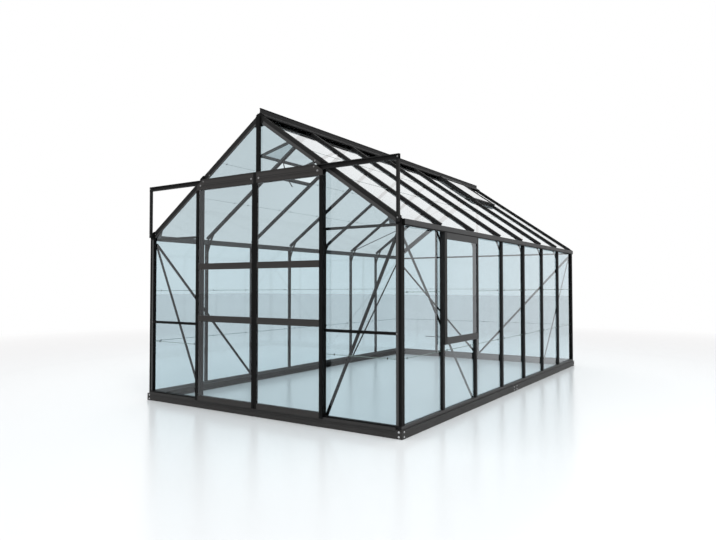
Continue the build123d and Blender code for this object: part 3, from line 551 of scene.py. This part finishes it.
edging = bmesh.new()
for side in SIDES:
    place = slope_place(side)
    for near, far in outer_faces(verge_low.y, verge_high.y, VERGE_EDGING_PROUD):
        add_strip(
            edging, (VERGE_EDGING_START, near, VERGE_EDGING_LOW),
            (slope_length - VERGE_EDGING_SHORT, far, VERGE_EDGING_HIGH[side]),
            EDGING_EASING, place,
        )
    inner, outer = span(side, POST_EDGING_INNER, POST_EDGING_OUTER)
    for near, far in outer_faces(post_low.y, post_high.y, POST_EDGING_PROUD):
        add_strip(
            edging, (inner, near, POST_EDGING_FOOT), (outer, far, gutter_low.z), EDGING_EASING,
        )
keep_piece(edging, "verge_and_post_edging", "frame", "frame_aluminium", edging_coat)


# ---------------------------------------------------------------- gutter ends and painted shadow under the gutters
GUTTER_BACK = 1.2475
GUTTER_CAP_THICKNESS = 0.0015
SHADOW_STRIP_BACK = 1.2747
SHADOW_STRIP_INSET = 0.0006
SHADOW_STRIP_FOOT, SHADOW_STRIP_TOP = 0.0008, 0.0078

caps = bmesh.new()
for side in SIDES:
    inner, outer = span(side, GUTTER_BACK, gutter_high.x)
    for y in (gutter_low.y - GUTTER_CAP_THICKNESS, gutter_high.y):
        add_strip(
            caps, (inner, y, gutter_low.z + 0.003),
            (outer, y + GUTTER_CAP_THICKNESS, gutter_high.z - 0.002), 0.0004,
        )
keep_piece(caps, "gutter_ends", "frame", "frame_aluminium", black_coat)

# painted shadow: a thin black strip along the shade under each gutter, not a part of the frame
shadow_strips = bmesh.new()
for side in SIDES:
    inner, outer = span(side, SHADOW_STRIP_BACK, gutter_high.x - SHADOW_STRIP_INSET)
    add_strip(
        shadow_strips, (inner, gutter_low.y, window_high.z + SHADOW_STRIP_FOOT),
        (outer, gutter_high.y, window_high.z + SHADOW_STRIP_TOP), 0.0006,
    )
keep_piece(shadow_strips, "gutter_painted_shadow", "frame", "frame_aluminium", black_coat)


# ---------------------------------------------------------------- door headers
HEADER_RECESS = 0.0030
HEADER_FOOT = 0.0885
CORNER_CUT = 0.052
NEAR_FACE = 0.0005
BAND_OVERLAP = 0.0002
HEADER_BANDS = (
    # lowest, highest, how far the face lies behind the leaf's front
    (0.0000, 0.0270, 0.0028),
    (0.0270, 0.0310, 0.0008),
    (0.0310, 0.0825, 0.0020),
    (0.0860, 0.0885, 0.0004),
)
HEADER_BOLTS = (
    # distance from the middle, height above the header's foot, radius
    (0.038, 0.0395, 0.0085),
    (0.605, 0.0375, 0.0085),
    (0.572, 0.0695, 0.006),
)
HEADER_BOLT_FACE, HEADER_BOLT_HEIGHT = 0.0020, 0.0020
# painted shade: thin dark strips that stand for the shade in the header's grooves
HEADER_GROOVE_SHADE = (
    # height above the header's foot, depth behind the leaf's front, far end
    (0.0020, 0.0026, 0.60),
    (0.0330, 0.0018, 0.60),
    (0.0460, 0.0018, 0.565),
    (0.0760, 0.0018, 0.565),
)
GROOVE_SHADE_START = 0.016
GROOVE_SHADE_WIDTH = 0.0035
MEETING_COVER_WIDTH = 0.012
MEETING_GAP, MEETING_LAP = 0.0004, 0.0006


def make_band(low, high, cut, slant):
    """Mesh of one header band with its slanted corner cut off."""
    band = bmesh.new()
    add_strip(band, low, high, 0.00015)
    geometry = band.verts[:] + band.edges[:] + band.faces[:]
    bmesh.ops.bisect_plane(
        band, geom=geometry, plane_co=cut, plane_no=slant, clear_outer=True,
    )
    rim = [edge for edge in band.edges if edge.is_boundary]
    bmesh.ops.holes_fill(band, edges=rim, sides=0)
    bmesh.ops.recalc_face_normals(band, faces=band.faces)
    return as_mesh(band, "band")


def make_banded_rails(body, side):
    """Leaf's rails with a recessed header that carries raised bands."""
    node = body + "_rails"
    shape = bmesh.new()
    shape.from_mesh(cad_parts[node].data)
    bmesh.ops.remove_doubles(shape, verts=shape.verts, dist=1e-6)
    low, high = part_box(node)
    foot = high.z - HEADER_FOOT
    header = [
        vert for vert in shape.verts
        if vert.co.y < low.y + NEAR_FACE and vert.co.z > foot - NEAR_FACE
    ]
    bmesh.ops.translate(shape, vec=(0, HEADER_RECESS, 0), verts=header)
    cut = Vector((max(low.x, high.x, key=abs), 0, high.z - CORNER_CUT))
    slant = (side * sin(PITCH), 0, cos(PITCH))
    for band_low, band_high, depth in HEADER_BANDS:
        band = make_band(
            (low.x, low.y + depth, foot + band_low),
            (high.x, low.y + HEADER_RECESS + BAND_OVERLAP, foot + band_high), cut, slant,
        )
        shape.from_mesh(band)
        bpy.data.meshes.remove(band)
    keep_piece(shape, body + "_banded_rails", body, "frame_aluminium", brown_coat, node)


def make_header_bolts(body, side):
    """Bolts on the header's wide band."""
    low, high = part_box(body + "_rails")
    foot = high.z - HEADER_FOOT
    bolts = bmesh.new()
    for x, z, radius in HEADER_BOLTS:
        spot = (side * x, low.y + HEADER_BOLT_FACE, foot + z)
        add_bolt(bolts, spot, FRONT, radius, HEADER_BOLT_HEIGHT)
    keep_piece(bolts, body + "_header_bolts", body, "frame_aluminium", header_steel)


def make_header_groove_shade(body, side):
    """Painted shade: dark strips laid along the header's bands where its grooves hold shade."""
    low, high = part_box(body + "_rails")
    foot = high.z - HEADER_FOOT
    groove_shade = bmesh.new()
    for row, depth, end in HEADER_GROOVE_SHADE:
        inner, outer = span(side, GROOVE_SHADE_START, end)
        add_strip(
            groove_shade, (inner, low.y + depth, foot + row),
            (outer, low.y + HEADER_RECESS, foot + row + GROOVE_SHADE_WIDTH), 0.00012,
        )
    keep_piece(groove_shade, body + "_header_groove_shade", body, "frame_aluminium", stile_coat)


def make_meeting_seal(body, side):
    """Cover on the header's inner end, and a soft strip down the leaf's meeting edge."""
    low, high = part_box(body + "_rails")
    foot = high.z - HEADER_FOOT
    inner_end = min(abs(low.x), abs(high.x))
    seal = bmesh.new()
    inner, outer = span(side, inner_end, inner_end + MEETING_COVER_WIDTH)
    add_strip(
        seal, (inner, low.y + BAND_OVERLAP, foot),
        (outer, low.y + HEADER_RECESS + BAND_OVERLAP, high.z), 0.0003,
    )
    inner, outer = span(side, MEETING_GAP, inner_end + MEETING_LAP)
    add_strip(
        seal, (inner, low.y + 0.0008, low.z + 0.03),
        (outer, low.y + 0.0080, high.z - 0.002), 0.0004,
    )
    keep_piece(seal, body + "_meeting_seal", body, "nylon", rubber)


for body, side in (("left_door", -1), ("right_door", 1)):
    make_banded_rails(body, side)
    make_header_bolts(body, side)
    make_header_groove_shade(body, side)
    make_meeting_seal(body, side)


# ---------------------------------------------------------------- roof vent stay
VENT_OPENING = radians(21)
STAY_HALF_THICKNESS, STAY_HALF_WIDTH = 0.0012, 0.007
STAY_INSET = 0.02
STAY_BEND_CENTRE = Vector((0.55, 0, 0.10))
STAY_BEND = radians(-28)


def make_vent_stay():
    """Thin curved stay that hangs from the open vent's bottom rail."""
    rail_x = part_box("vent_rails")[0].x
    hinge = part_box("vent_hinges")[0]
    drop = (hinge.x - rail_x) * tan(PITCH - VENT_OPENING)
    middle = (side_lines[0] + side_lines[1]) / 2
    start = Vector((rail_x + STAY_INSET, middle, hinge.z - drop + 0.004))
    shape = bmesh.new()
    section = [
        shape.verts.new(start + Vector((x * STAY_HALF_THICKNESS, y * STAY_HALF_WIDTH, 0)))
        for x, y in ((-1, -1), (1, -1), (1, 1), (-1, 1))
    ]
    face = shape.faces.new(section)
    bmesh.ops.spin(
        shape, geom=[face] + list(face.edges) + list(face.verts),
        cent=start + STAY_BEND_CENTRE, axis=(0, 1, 0), dvec=(0, 0, 0),
        angle=STAY_BEND, steps=10, use_merge=False,
    )
    keep_piece(shape, "vent_stay", "frame", "frame_aluminium", black_coat)


make_vent_stay()


# ---------------------------------------------------------------- roof brace
BRACE_LEVEL = -0.0145
BRACE_HALF_WIDTH, BRACE_THICKNESS = 0.0095, 0.0025
BRACE_BOLT_INSET = 0.012


def make_roof_brace():
    """Flat brace under the left slope, from the eave to the back gable near the ridge."""
    start = Vector((0.055, side_lines[4] - 0.002, BRACE_LEVEL))
    end = Vector((slope_length - 0.115, slope_high.y - 0.012, BRACE_LEVEL))
    along = end - start
    turn = Matrix.Rotation(atan2(along.y, along.x), 4, "Z")
    place = slope_place(-1) @ Matrix.Translation(start) @ turn
    brace = bmesh.new()
    add_strip(
        brace, (0, -BRACE_HALF_WIDTH, 0), (along.length, BRACE_HALF_WIDTH, BRACE_THICKNESS),
        0.0004, place,
    )
    inward = place.to_3x3() @ Vector((0, 0, -1))
    for spot in (BRACE_BOLT_INSET, along.length - BRACE_BOLT_INSET):
        add_bolt(brace, place @ Vector((spot, 0, 0)), inward, 0.005, 0.0025)
    keep_piece(brace, "roof_brace", "frame", "frame_aluminium", black_coat)


make_roof_brace()
bpy.data.meshes.remove(bolt_head)


# ---------------------------------------------------------------- floor and light
def make_floor():
    """Pale studio floor with painted shade from 3 to 8 m out, that fades to white away from the
    object where seen direct.
    """
    shape = bmesh.new()
    bmesh.ops.create_grid(shape, x_segments=1, y_segments=1, size=60)
    mesh = as_mesh(shape, "floor")
    floor = bpy.data.objects.new("floor", mesh)
    scene.collection.objects.link(floor)
    material, tree = new_material("studio floor")
    path = add_node(tree, "LightPath")
    distance = add_node(tree, "VectorMath", {0: object_place(tree)}, operation="LENGTH")
    distance = distance.outputs["Value"]
    through_glass = work_out(tree, "GREATER_THAN", path.outputs["Transparent Depth"], 0.5)
    bare = work_out(tree, "SUBTRACT", 1.0, through_glass)
    seen_bare = work_out(tree, "MULTIPLY", path.outputs["Is Camera Ray"], bare)
    far = add_node(tree, "MapRange", {"Value": distance, "From Min": 4.5, "From Max": 10.0})
    # painted shade: the floor's colour darkens from 3 to 8 m out, for the darker ground seen
    # through the glass
    shade_reach = add_node(tree, "MapRange", {"Value": distance, "From Min": 3.0, "From Max": 8.0})
    near_tone, far_painted_shade = (0.885, 0.915, 0.93), (0.635, 0.620, 0.628)
    matt = add_node(tree, "BsdfPrincipled", {
        "Base Color": two_tone(tree, shade_reach.outputs["Result"], near_tone, far_painted_shade),
        "Roughness": 0.22, "Specular IOR Level": 0.5,
    })
    white = add_node(tree, "Emission", {"Color": (1, 1, 1, 1), "Strength": 1.0})
    mix = add_node(tree, "MixShader", {
        "Fac": work_out(tree, "MULTIPLY", seen_bare, far.outputs["Result"]),
        1: matt.outputs["BSDF"], 2: white.outputs["Emission"],
    })
    add_node(tree, "OutputMaterial", {"Surface": mix.outputs["Shader"]})
    mesh.materials.append(material)


def add_lamp(name, place, aim, size, power):
    """Soft square lamp aimed at a point."""
    data = bpy.data.lights.new(name, "AREA")
    data.size = size
    data.energy = power
    lamp = bpy.data.objects.new(name, data)
    scene.collection.objects.link(lamp)
    lamp.location = place
    lamp.rotation_euler = (Vector(aim) - Vector(place)).to_track_quat("-Z", "Y").to_euler()


make_floor()
world = bpy.data.worlds.new("studio")
scene.world = world
world.use_nodes = True
world.node_tree.nodes.clear()
sky = add_node(world.node_tree, "Background", {"Color": (1, 1, 1, 1), "Strength": 1.0})
add_node(world.node_tree, "OutputWorld", {"Surface": sky.outputs["Background"]})
add_lamp("key lamp", place=(5.0, -6.0, 7.0), aim=(0, 0, 0.8), size=3.0, power=260)
